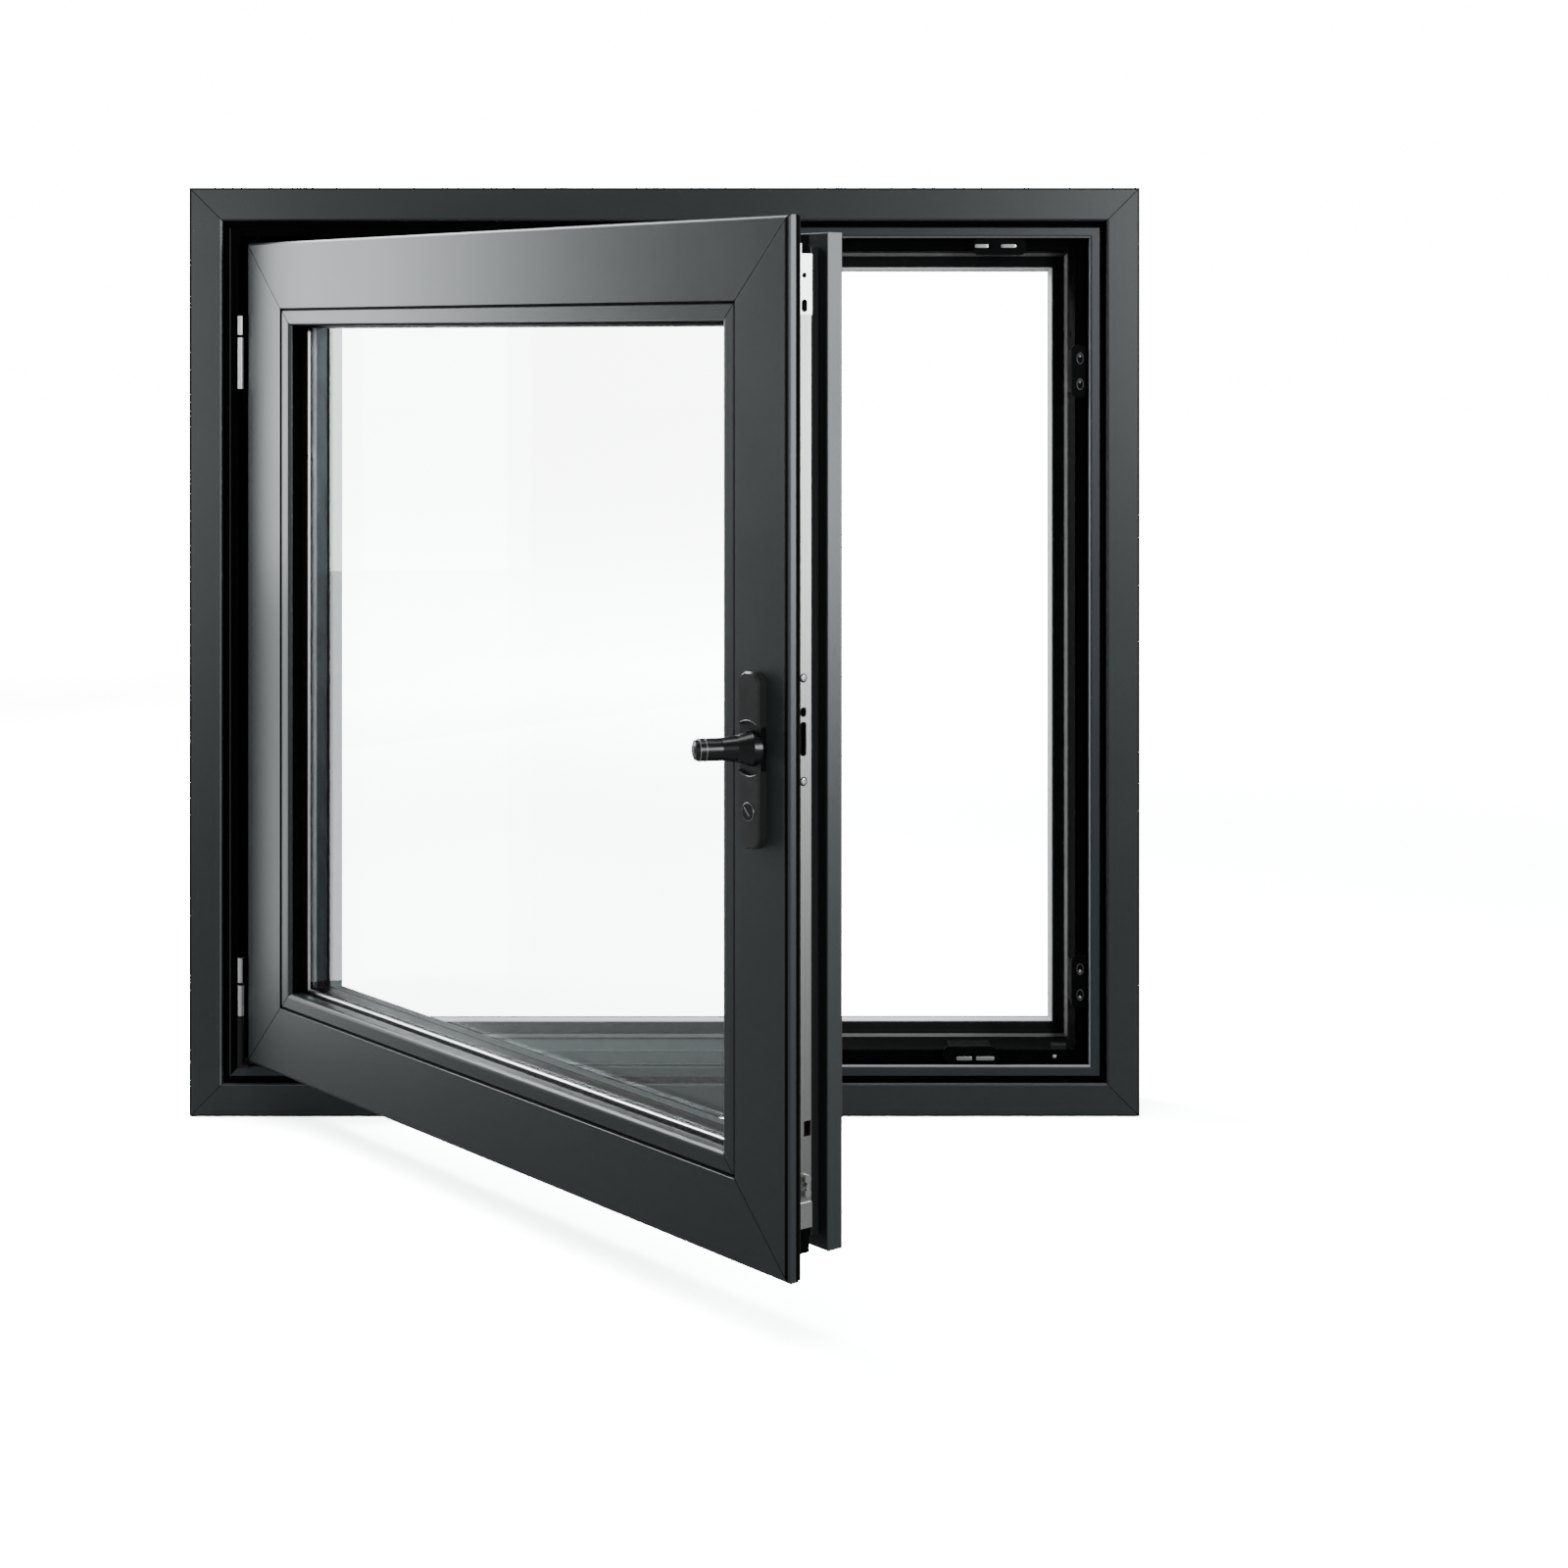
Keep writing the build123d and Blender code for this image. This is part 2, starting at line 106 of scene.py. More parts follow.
class Tree:
    """A node tree in which each node is made and wired in one call."""

    def __init__(self, tree: bpy.types.NodeTree) -> None:
        """Keep the tree and empty it.

        Args:
            tree: The node tree of a material, a world or a group.
        """
        self.tree = tree
        tree.nodes.clear()

    def add(self, kind: str, inputs: dict | None = None, **settings: object) -> bpy.types.Node:
        """Make a node.

        Args:
            kind: The node's type name.
            inputs: Values or output sockets, by input name or index.
            settings: Attributes of the node.

        Returns:
            The new node.
        """
        node = self.tree.nodes.new(kind)
        for key, value in settings.items():
            setattr(node, key, value)
        self._fill(node, inputs or {})
        return node

    def _fill(self, node: bpy.types.Node, inputs: dict) -> None:
        """Set or wire a node's inputs.

        Args:
            node: The node.
            inputs: Values or output sockets, by input name or index.
        """
        for key, value in inputs.items():
            if isinstance(value, bpy.types.NodeSocket):
                self.tree.links.new(value, node.inputs[key])
            else:
                node.inputs[key].default_value = value

    def math(self, operation: str, *values: object, clamp: bool = False) -> bpy.types.NodeSocket:
        """Make a maths node.

        Args:
            operation: The node's operation.
            values: Numbers or sockets.
            clamp: Whether the result is held between 0 and 1.

        Returns:
            The result socket.
        """
        inputs = dict(enumerate(values))
        return self.add("ShaderNodeMath", inputs, operation=operation, use_clamp=clamp).outputs[0]

    def ramp(self, value: object, low: object, high: object) -> bpy.types.NodeSocket:
        """Rise smoothly from 0 at low to 1 at high.

        Args:
            value: The socket to read.
            low: Where the result is 0.
            high: Where the result is 1.

        Returns:
            The result socket.
        """
        inputs = {"Value": value, "From Min": low, "From Max": high}
        node = self.add("ShaderNodeMapRange", inputs, interpolation_type="SMOOTHSTEP")
        return node.outputs["Result"]

    def span(self, value: object, start: float, stop: float, soft: float) -> bpy.types.NodeSocket:
        """Give 1 between two values and 0 outside them, with soft ends.

        Args:
            value: The socket to read.
            start: Where the span starts.
            stop: Where it ends.
            soft: How wide each soft end is.

        Returns:
            The result socket.
        """
        rise = self.ramp(value, start - soft / 2, start + soft / 2)
        fall = self.ramp(value, stop + soft / 2, stop - soft / 2)
        return self.math("MULTIPLY", rise, fall)

    def blend(self, share: object, first: object, second: object) -> bpy.types.NodeSocket:
        """Blend two colours.

        Args:
            share: How much of the second shows.
            first: A colour or socket.
            second: A colour or socket.

        Returns:
            The result socket.
        """
        inputs = {"Factor": share, MIX_FIRST: first, MIX_SECOND: second}
        return self.add("ShaderNodeMix", inputs, data_type="RGBA").outputs[MIX_RESULT]

    def short_of(self, half: object, value: bpy.types.NodeSocket) -> bpy.types.NodeSocket:
        """Give how far a value's size falls short of a half width or height.

        Args:
            half: The half width or height.
            value: The distance from the middle.

        Returns:
            The result socket.
        """
        return self.math("SUBTRACT", half, self.math("ABSOLUTE", value))

    def mapped(self, vector: bpy.types.NodeSocket, **moves: Triple) -> bpy.types.NodeSocket:
        """Move, turn or scale coordinates.

        Args:
            vector: The coordinates.
            moves: Location, Rotation or Scale of the Mapping node.

        Returns:
            The new coordinates.
        """
        return self.add("ShaderNodeMapping", {"Vector": vector, **moves}).outputs[0]

    def length(self, vector: bpy.types.NodeSocket) -> bpy.types.NodeSocket:
        """Give a vector's length."""
        node = self.add("ShaderNodeVectorMath", {0: vector}, operation="LENGTH")
        return node.outputs["Value"]

    def bumped(self, height: bpy.types.NodeSocket, strength: float) -> bpy.types.NodeSocket:
        """Turn a height into a bumped normal.

        Args:
            height: The height.
            strength: How strong the bump is.

        Returns:
            The normal.
        """
        inputs = {"Height": height, "Strength": strength, "Distance": BUMP_DISTANCE}
        return self.add("ShaderNodeBump", inputs).outputs[0]

    def closed_sash(self, place: bpy.types.NodeSocket) -> bpy.types.NodeSocket:
        """Turn the shared frame's coordinates back to those of the closed sash.

        Args:
            place: The object's coordinates.

        Returns:
            The coordinates, with x from the middle, y behind the sash's room face and z up.
        """
        hinge = self.mapped(place, Location=(-HINGE_X, -HINGE_Y, 0))
        back = (HINGE_X, HINGE_Y - LEAF_FRONT, 0)
        return self.mapped(hinge, Rotation=(0, 0, OPEN_ANGLE), Location=back)

    def group(self, tree: bpy.types.NodeTree, **inputs: object) -> bpy.types.Node:
        """Add a shader group.

        Args:
            tree: The group.
            inputs: Values or sockets, by input name with an underscore for each space.

        Returns:
            The group's node.
        """
        named = {key.replace("_", " "): value for key, value in inputs.items()}
        node = self.add("ShaderNodeGroup", node_tree=tree)
        self._fill(node, named)
        return node

    def finish(self, shader: bpy.types.Node, kind: str = "ShaderNodeOutputMaterial") -> None:
        """Wire a shader to the output.

        Args:
            shader: The last shader node.
            kind: The output's type name.
        """
        self.add(kind, {"Surface": shader.outputs[0]})

    def principled(self, inputs: dict) -> None:
        """Wire a Principled shader with these inputs to the material's output."""
        self.finish(self.add("ShaderNodeBsdfPrincipled", inputs))


def new_material(name: str) -> tuple[bpy.types.Material, Tree, bpy.types.NodeSocket]:
    """Start a material that reads Object coordinates.

    Args:
        name: The material's name.

    Returns:
        The material, its tree and the coordinates.
    """
    material = bpy.data.materials.new(name)
    material.use_nodes = True
    made = Tree(material.node_tree)
    return material, made, made.add("ShaderNodeTexCoord").outputs["Object"]


@dataclass(frozen=True)
class Groups:
    """The shader groups that more than one finish uses."""

    grain: bpy.types.NodeTree
    mitre: bpy.types.NodeTree

    @staticmethod
    def _new(name: str, sockets: dict[str, tuple[str, float]], outputs: tuple[str, ...]) -> tuple:
        """Make an empty group with its sockets.

        Args:
            name: The group's name.
            sockets: Input names, each with its type and first value.
            outputs: Names of the value outputs.

        Returns:
            The tree, its Tree helper and the input node.
        """
        tree = bpy.data.node_groups.new(name, "ShaderNodeTree")
        made = Tree(tree)
        for label, (kind, value) in sockets.items():
            socket = tree.interface.new_socket(label, in_out="INPUT", socket_type=kind)
            if kind == "NodeSocketFloat":
                socket.default_value = value
        for label in outputs:
            tree.interface.new_socket(label, in_out="OUTPUT", socket_type="NodeSocketFloat")
        return tree, made, made.add("NodeGroupInput")

    @classmethod
    def build(cls) -> "Groups":
        """Build both groups.

        Returns:
            The groups.
        """
        return cls(grain=cls._grain(), mitre=cls._mitre())

    @classmethod
    def _grain(cls) -> bpy.types.NodeTree:
        """Fine grain, a slow cloud and sparse dust, as three values.

        Returns:
            The group.
        """
        sockets = {
            "Vector": ("NodeSocketVector", 0),
            "Grain Scale": ("NodeSocketFloat", 900),
            "Cloud Scale": ("NodeSocketFloat", 6),
            "Dust Scale": ("NodeSocketFloat", 240),
        }
        tree, made, start = cls._new("surface_grain", sockets, ("Grain", "Cloud", "Dust"))
        given = start.outputs
        point = given["Vector"]
        grain = made.add(
            "ShaderNodeTexNoise", {"Vector": point, "Scale": given["Grain Scale"], "Detail": 3.0}
        )
        cloud = made.add(
            "ShaderNodeTexNoise", {"Vector": point, "Scale": given["Cloud Scale"], "Detail": 4.0}
        )
        specks = made.add("ShaderNodeTexVoronoi", {"Vector": point, "Scale": given["Dust Scale"]})
        dust = made.ramp(specks.outputs["Distance"], 0.1, 0.02)
        made.add(
            "NodeGroupOutput",
            {"Grain": grain.outputs["Fac"], "Cloud": cloud.outputs["Fac"], "Dust": dust},
        )
        return tree

    @classmethod
    def _mitre(cls) -> bpy.types.NodeTree:
        """The thin joint line at 45 degrees in each corner, and the distance in from the edge.

        The point's x and z run from the middle of a rectangle. The distance to its upright edges
        is half the width less the size of x, and to its level edges half the height less the size
        of z. On a mitre the two are equal, so the line is where their difference is small.

        Returns:
            The group.
        """
        sockets = {
            "Vector": ("NodeSocketVector", 0),
            "Half Width": ("NodeSocketFloat", WIDTH / 2),
            "Half Height": ("NodeSocketFloat", HEIGHT / 2),
            "Line": ("NodeSocketFloat", 1.2 * MM),
        }
        tree, made, start = cls._new("mitre_line", sockets, ("Line", "Inward"))
        given = start.outputs
        parts = made.add("ShaderNodeSeparateXYZ", {"Vector": given["Vector"]})
        across = made.short_of(given["Half Width"], parts.outputs["X"])
        along = made.short_of(given["Half Height"], parts.outputs["Z"])
        gap = made.math("ABSOLUTE", made.math("SUBTRACT", across, along))
        line = made.ramp(gap, given["Line"], 0.0)
        made.add("NodeGroupOutput", {"Line": line, "Inward": made.math("MINIMUM", across, along)})
        return tree


@dataclass(frozen=True)
class Band:
    """A band of painted shade, a painted highlight or other colour, between two distances inward
    and two depths, in mm.
    """

    inward: tuple[float, float]
    depth: tuple[float, float]
    colour: Triple
    region: Region = Region.ALL


@dataclass(frozen=True)
class PaintedProfile:
    """Satin dark grey paint on mitred profiles, with bands of painted shade and painted highlights.
    """

    name: str
    side: Side
    half_width: float
    half_height: float
    bands: tuple[Band, ...]
    colour: Triple = (0.018, 0.0215, 0.0215)
    roughness: float = 0.345
    behind_sash: float = 130 * MM
    sill_fade: tuple[float, float] = (60 * MM, -80 * MM)
    joint: float = 1.2 * MM
    joint_depth: float = 3 * MM
    band_edge: float = 0.3 * MM
    dark_below: float = 0.02
    cloud_gain: float = 1.12
    cloud_rough: float = 0.08
    dust_rough: float = 0.12
    dull_rough: float = 0.4
    bump: float = 0.1

    def build(self, groups: Groups) -> bpy.types.Material:
        """Build the material.

        Args:
            groups: The shared shader groups.

        Returns:
            The material.
        """
        material, made, place = new_material(self.name)
        centred = self._centred(made, place)
        grain = made.group(groups.grain, Vector=place)
        mitre = made.group(
            groups.mitre,
            Vector=centred,
            Half_Width=self.half_width,
            Half_Height=self.half_height,
            Line=self.joint,
        )
        inward = mitre.outputs["Inward"]
        parts = made.add("ShaderNodeSeparateXYZ", {"Vector": centred})
        depth = parts.outputs["Y"]

        light = tuple(c * self.cloud_gain for c in self.colour)
        base = made.blend(grain.outputs["Cloud"], (*self.colour, 1), (*light, 1))
        dull = 0.0
        for band in self.bands:
            across = made.span(inward, *(edge * MM for edge in band.inward), self.band_edge)
            deep = made.span(depth, *(edge * MM for edge in band.depth), self.band_edge)
            share = made.math("MULTIPLY", across, deep)
            if band.region is not Region.ALL:
                share = made.math("MULTIPLY", share, self._within(made, parts, band.region))
            base = made.blend(share, base, (*band.colour, 1))
            # Black bands are painted shade: they turn metallic and rougher so that no sheen lifts
            # them.
            dark = float(max(band.colour) < self.dark_below)
            dull = made.math("MAXIMUM", dull, made.math("MULTIPLY", share, dark))
        near = made.math("LESS_THAN", depth, self.joint_depth)
        line = made.math("MULTIPLY", mitre.outputs["Line"], near)
        base = made.blend(line, base, (*BLACK, 1))
        dull = made.math("MAXIMUM", dull, line)
        low = self.roughness - self.cloud_rough / 2
        rough = made.math("MULTIPLY_ADD", grain.outputs["Cloud"], self.cloud_rough, low)
        rough = made.math("MULTIPLY_ADD", grain.outputs["Dust"], self.dust_rough, rough)
        rough = made.math("MULTIPLY_ADD", dull, self.dull_rough, rough, clamp=True)
        height = made.math("MULTIPLY_ADD", line, -1.0, grain.outputs["Grain"])
        normal = made.bumped(height, self.bump)
        made.principled(
            {"Base Color": base, "Metallic": dull, "Roughness": rough, "Normal": normal}
        )
        return material

    def _within(self, made: Tree, parts: bpy.types.Node, region: Region) -> bpy.types.NodeSocket:
        """Tell where a region is.

        Args:
            made: The material's tree.
            parts: The centred coordinates, taken apart.
            region: The region.

        Returns:
            1 inside the region and 0 outside it.
        """
        x, z = parts.outputs["X"], parts.outputs["Z"]
        if region is Region.SILL_LEFT:
            empty, full = (self.behind_sash + reach for reach in self.sill_fade)
            fading = made.ramp(x, empty, full)
            return made.math("MULTIPLY", self._within(made, parts, Region.BOTTOM), fading)
        if region in (Region.TOP, Region.BOTTOM):
            sign = -1.0 if region is Region.TOP else 1.0
            across = made.short_of(self.half_width, x)
            along = made.math("MULTIPLY_ADD", z, sign, self.half_height)
            return made.math("GREATER_THAN", across, along)
        if region in (Region.HINGE, Region.LOCK):
            sign = 1.0 if region is Region.HINGE else -1.0
            along = made.short_of(self.half_height, z)
            across = made.math("MULTIPLY_ADD", x, sign, self.half_width)
            return made.math("GREATER_THAN", along, across)
        test = "LESS_THAN" if region is Region.LEFT else "GREATER_THAN"
        return made.math(test, x, self.behind_sash)

    def _centred(self, made: Tree, place: bpy.types.NodeSocket) -> bpy.types.NodeSocket:
        """Turn and centre the object's coordinates, with y the depth behind the room face.

        Args:
            made: The material's tree.
            place: The object's coordinates.

        Returns:
            The coordinates, with x and z from the middle.
        """
        if self.side is Side.FRAME:
            return made.mapped(place, Location=(0, DEPTH / 2, -HEIGHT / 2))
        return made.mapped(made.closed_sash(place), Location=(0, 0, -HEIGHT / 2))


@dataclass(frozen=True)
class PlainFinish:
    """A finish of one substance with grain and cloud: rubber, plastic, zinc or satin black."""

    name: str
    colour: Triple
    roughness: float
    metallic: float = 0.0
    grain_scale: float = 900.0
    stretch: Triple = (1.0, 1.0, 1.0)
    bump: float = 0.1
    variation: float = 0.25
    ior: float = 1.5
    cloud_scale: float = 30.0
    cloud_rough: float = 0.14

    def build(self, groups: Groups) -> bpy.types.Material:
        """Build the material.

        Args:
            groups: The shared shader groups.

        Returns:
            The material.
        """
        material, made, place = new_material(self.name)
        grain = made.group(
            groups.grain,
            Vector=made.mapped(place, Scale=self.stretch),
            Grain_Scale=self.grain_scale,
            Cloud_Scale=self.cloud_scale,
        )
        dark = tuple(c * (1 - self.variation) for c in self.colour)
        base = made.blend(grain.outputs["Grain"], (*dark, 1), (*self.colour, 1))
        base = self._tinted(made, place, base)
        low = self.roughness - self.cloud_rough / 2
        made.principled(
            {
                "Base Color": base,
                "Roughness": made.math(
                    "MULTIPLY_ADD", grain.outputs["Cloud"], self.cloud_rough, low
                ),
                "Metallic": self.metallic,
                "IOR": self.ior,
                "Normal": made.bumped(grain.outputs["Grain"], self.bump),
            }
        )
        return material

    def _tinted(self, made: Tree, place: object, base: object) -> object:
        """Leave the colour as it is.

        Args:
            made: The material's tree; not used here.
            place: The object's coordinates; not used here.
            base: The colour so far.

        Returns:
            The colour.
        """
        return base


@dataclass(frozen=True)
class HingeFinish(PlainFinish):
    """Bright zinc on the round barrels, and black on the arms behind them as painted shade."""

    barrel: float = 3.4 * MM
    fade: float = 0.4 * MM
    # Painted shade: the arms go black so that they sink into the dark behind the barrels.
    arm: Triple = (0.006, 0.006, 0.006)

    def _tinted(self, made: Tree, place: object, base: object) -> object:
        """Paint shade on what lies farther from the hinge's axis than the barrel's radius.

        Args:
            made: The material's tree.
            place: The object's coordinates.
            base: The colour so far.

        Returns:
            The colour.
        """
        flat = made.mapped(place, Location=(-HINGE_X, -HINGE_Y, 0), Scale=(1, 1, 0))
        share = made.ramp(made.length(flat), self.barrel, self.barrel + self.fade)
        return made.blend(share, base, (*self.arm, 1))


@dataclass(frozen=True)
class SpacerFinish(PlainFinish):
    """Dark spacer bar with a painted highlight on its front edge, and painted shade in black along
    the bottom.
    """

    # The front edge's lighter colour is a painted highlight; below bottom the bar is painted shade
    # in black.
    highlight_depth: tuple[float, float] = (28.8 * MM, 32.4 * MM)
    bottom: float = 150 * MM
    light: Triple = (0.42, 0.44, 0.43)
    soft: float = 0.5 * MM

    def _tinted(self, made: Tree, place: object, base: object) -> object:
        """Paint a highlight on the bar's front edge and shade in black along its bottom.

        Args:
            made: The material's tree.
            place: The object's coordinates.
            base: The colour so far.

        Returns:
            The colour.
        """
        parts = made.add("ShaderNodeSeparateXYZ", {"Vector": made.closed_sash(place)})
        depth, up = parts.outputs["Y"], parts.outputs["Z"]
        share = made.span(depth, *self.highlight_depth, self.soft)
        edge = made.blend(share, base, (*self.light, 1))
        return made.blend(made.math("LESS_THAN", up, self.bottom), edge, (*BLACK, 1))


@dataclass(frozen=True)
class DishFinish(PlainFinish):
    """Satin black, with painted shade in deeper black over a round dish."""

    centre: tuple[float, float] = (HANDLE_X, HANDLE_Z)
    radius: float = 21.6 * MM
    soft: float = 0.3 * MM
    # Painted shade: the dish's deeper black.
    deep: Triple = (0.002, 0.002, 0.002)

    def _tinted(self, made: Tree, place: object, base: object) -> object:
        """Paint shade over the dish.

        Args:
            made: The material's tree.
            place: The object's coordinates.
            base: The colour so far.

        Returns:
            The colour.
        """
        across, up = self.centre
        flat = made.mapped(made.closed_sash(place), Location=(-across, 0, -up), Scale=(1, 0, 1))
        share = made.ramp(made.length(flat), self.radius + self.soft, self.radius - self.soft)
        return made.blend(share, base, (*self.deep, 1))


@dataclass(frozen=True)
class CordFinish(PlainFinish):
    """Light grey metal cord as a painted highlight on the glazing gasket, black along the top rail
    as painted shade.
    """

    top: float = HEIGHT - 149 * MM
    fade: float = 4 * MM

    def _tinted(self, made: Tree, place: object, base: object) -> object:
        """Paint shade in black on the cord near the sash's top.

        Args:
            made: The material's tree.
            place: The object's coordinates.
            base: The colour so far.

        Returns:
            The colour.
        """
        up = made.add("ShaderNodeSeparateXYZ", {"Vector": place}).outputs["Z"]
        return made.blend(made.ramp(up, self.top, self.top + self.fade), base, (*BLACK, 1))


@dataclass(frozen=True)
class ClearGlass:
    """Clear float glass with a faint green cast."""

    name: str
    tint: Triple = (0.975, 0.995, 0.986)
    haze: float = 0.985
    cloud_scale: float = 4.0
    dust_rough: float = 0.02
    ior: float = 1.45

    def build(self, groups: Groups) -> bpy.types.Material:
        """Build the material: clear sheet that lets light through and mirrors at a slant.

        Args:
            groups: The shared shader groups.

        Returns:
            The material.
        """
        material, made, place = new_material(self.name)
        grain = made.group(groups.grain, Vector=place, Cloud_Scale=self.cloud_scale)
        haze = tuple(c * self.haze for c in self.tint)
        base = made.blend(grain.outputs["Cloud"], (*self.tint, 1), (*haze, 1))
        rough = made.math("MULTIPLY", grain.outputs["Dust"], self.dust_rough)
        made.principled(
            {
                "Base Color": base,
                "Roughness": rough,
                "IOR": self.ior,
                "Transmission Weight": 1.0,
            }
        )
        return material


# Painted shade and painted highlights on the frame's profile, besides the strip's own blue-grey.
FRAME_BANDS = (
    # Painted shade along the frame's outer arris.
    Band((-1, 2.0), (-1, 0.6), BLACK),
    # Painted shade in the groove behind the room face.
    Band((33.7, 40.2), (2.7, 9), BLACK),
    Band((39.8, 51.2), (4, 12), (0.016, 0.020, 0.023), Region.RIGHT),
    # Painted shadow of the open sash on the strip behind it.
    Band((39.8, 51.2), (4, 12), BLACK, Region.LEFT),
    # Painted highlights on the face's inner arris and on the strip's edge, hinge jamb.
    Band((31.4, 32.6), (-1, 1.4), (0.16, 0.17, 0.17), Region.HINGE),
    Band((39.8, 41.3), (4, 7), (0.10, 0.105, 0.105), Region.HINGE),
    # Painted highlight along the strip's rounded inner edge.
    Band((49.6, 51.3), (5.2, 8.2), (0.20, 0.21, 0.22), Region.RIGHT),
    # Painted shade over the ledge and the reveal.
    Band((50.6, 90), (8.2, 79.4), BLACK),
    # Painted light on the upward faces of the sill behind the open sash.
    Band((50.6, 64), (12, 62), (0.13, 0.155, 0.155), Region.SILL_LEFT),
    Band((39.8, 50.6), (4, 12), (0.07, 0.085, 0.085), Region.SILL_LEFT),
    # Painted highlight on the step in the reveal, near white on the lock jamb.
    Band((64.2, 67.8), (65.4, 70.6), (0.30, 0.31, 0.29)),
    Band((64.2, 67.8), (65.4, 70.6), (0.95, 0.94, 0.90), Region.LOCK),
    # Painted reflection of the daylight on the lip's chamfer.
    Band((79.2, 83.6), (73.6, 79.4), (0.95, 0.95, 0.95)),
    # Painted shade on the lip's inner end.
    Band((83.6, 86), (60, 79.4), BLACK),
)

# Painted shade and painted highlights on the sash's profile.
SASH_BANDS = (
    # Painted shade beside the flange's front edge, lock stile.
    Band((1.2, 4.6), (-1, 0.5), BLACK, Region.LOCK),
    # Painted shadow in the gap behind the flange, lock stile.
    Band((-1, 5), (7.8, 11.5), BLACK, Region.LOCK),
    # Painted shade in the gear channel.
    Band((-1, 67), (11.3, 43), BLACK),
    Band((-1, 67), (43, 50.6), (0.018, 0.020, 0.020)),
    # Painted shade in the groove between bead and sash, over the arrises beside it.
    Band((66.7, 68.8), (-1, 30), BLACK),
    # Painted shade on the sides of the glass rebate.
    Band((82.7, 90), (1.4, 30), BLACK, Region.TOP),
    Band((83.6, 90), (4.6, 30), BLACK, Region.HINGE),
    Band((83.6, 90), (14, 30), BLACK, Region.BOTTOM),
    # Painted light on the sash's outer part, seen through the glass.
    Band((83.6, 90), (51.5, 66), (0.15, 0.165, 0.165)),
)


@dataclass
class Finishes:
    """Every finish of the window, built once."""

    groups: Groups = field(default_factory=Groups.build)

    def __post_init__(self) -> None:
        """Build the materials."""
        made = self.groups
        leaf = (WIDTH / 2 - LEAF_EDGE, HEIGHT / 2 - LEAF_EDGE)
        self.frame = PaintedProfile(
            "frame_paint", Side.FRAME, WIDTH / 2, HEIGHT / 2, FRAME_BANDS, joint=0.8 * MM
        ).build(made)
        self.sash = PaintedProfile("sash_paint", Side.SASH, *leaf, SASH_BANDS).build(made)
        self.seal = PlainFinish(
            "black_seal", (0.006, 0.006, 0.006), roughness=0.62, grain_scale=1400, ior=1.2
        ).build(made)
        self.steel = PlainFinish(
            "brushed_zinc",
            (0.29, 0.29, 0.28),
            roughness=0.34,
            metallic=0.9,
            grain_scale=1600,
            stretch=(1, 1, 0.04),
            bump=0.2,
        ).build(made)
        self.bright = PlainFinish(
            "bright_zinc",
            (0.48, 0.48, 0.465),
            roughness=0.27,
            metallic=0.9,
            grain_scale=700,
            bump=0.02,
        ).build(made)
        self.hinge = HingeFinish(
            "hinge_zinc",
            (0.72, 0.72, 0.71),
            roughness=0.3,
            metallic=0.95,
            grain_scale=700,
            bump=0.01,
        ).build(made)
        self.spacer = SpacerFinish(
            "spacer_bar", (0.045, 0.058, 0.066), roughness=0.45, metallic=0.3, grain_scale=1200
        ).build(made)
        self.handle = PlainFinish(
            "handle_black", (0.005, 0.005, 0.005), roughness=0.27, grain_scale=1500
        ).build(made)
        # The handle plate, with painted shade over its dish.
        self.plate = DishFinish(
            "plate_black", (0.024, 0.025, 0.024), roughness=0.3, grain_scale=1500
        ).build(made)
        # A light metal cord as a painted highlight on the glazing gasket, with painted shade along
        # the top.
        self.cord = CordFinish(
            "grey_cord", (0.85, 0.86, 0.86), roughness=0.3, metallic=1.0, grain_scale=1400
        ).build(made)
        self.plastic = PlainFinish(
            "black_plastic", (0.007, 0.007, 0.007), roughness=0.5, grain_scale=1100, ior=1.3
        ).build(made)
        self.keep = PlainFinish(
            "dark_zinc", (0.006, 0.0062, 0.0062), roughness=0.5, metallic=1.0, grain_scale=1100
        ).build(made)
        # Lighter zinc for the keeps' eye rims: a painted highlight.
        self.keep_rim_highlight = PlainFinish(
            "rim_highlight_zinc", (0.11, 0.11, 0.105), roughness=0.3, metallic=0.7, grain_scale=1100
        ).build(made)
        # Light satin metal for the lever's rings and keyhole rim, and for painted highlights on the
        # dish and keyhole.
        self.trim_and_highlight = PlainFinish(
            "satin_trim_and_highlight", (0.30, 0.31, 0.31), roughness=0.25, metallic=0.5, grain_scale=1300
        ).build(made)
        self.glass = ClearGlass("clear_glass").build(made)


def dress(material: bpy.types.Material, *nodes: str) -> None:
    """Give built parts a finish.

    Args:
        material: The finish.
        nodes: Names of the built parts.
    """
    for name in nodes:
        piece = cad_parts[name]
        piece.data.materials.clear()
        piece.data.materials.append(material)
        log.info("%s wears %s", name, material.name)


def swung(points: np.ndarray) -> np.ndarray:
    """Turn points of the closed sash about the hinge's axis to where the open sash has them.

    Args:
        points: Points, the last axis being x, y and z.

    Returns:
        The turned points.
    """
    away = points - np.array([HINGE_X, HINGE_Y, 0.0])
    turn = np.array(
        [
            [math.cos(OPEN_ANGLE), math.sin(OPEN_ANGLE), 0.0],
            [-math.sin(OPEN_ANGLE), math.cos(OPEN_ANGLE), 0.0],
            [0.0, 0.0, 1.0],
        ]
    )
    return away @ turn.T + np.array([HINGE_X, HINGE_Y, 0.0])


@dataclass(frozen=True)
class Spot:
    """Where a small piece sits: its origin, which way it looks, and what it belongs to."""

    origin: Triple
    facing: Facing
    side: Side = Side.FRAME

    def place(self, grid: np.ndarray) -> np.ndarray:
        """Bring a piece's own points into the shared frame.

        Args:
            grid: Points in the piece's own right, up and outward.

        Returns:
            The points in the shared frame.
        """
        points = grid @ np.array(self.facing.value, dtype=float) + np.array(self.origin)
        return swung(points) if self.side is Side.SASH else points


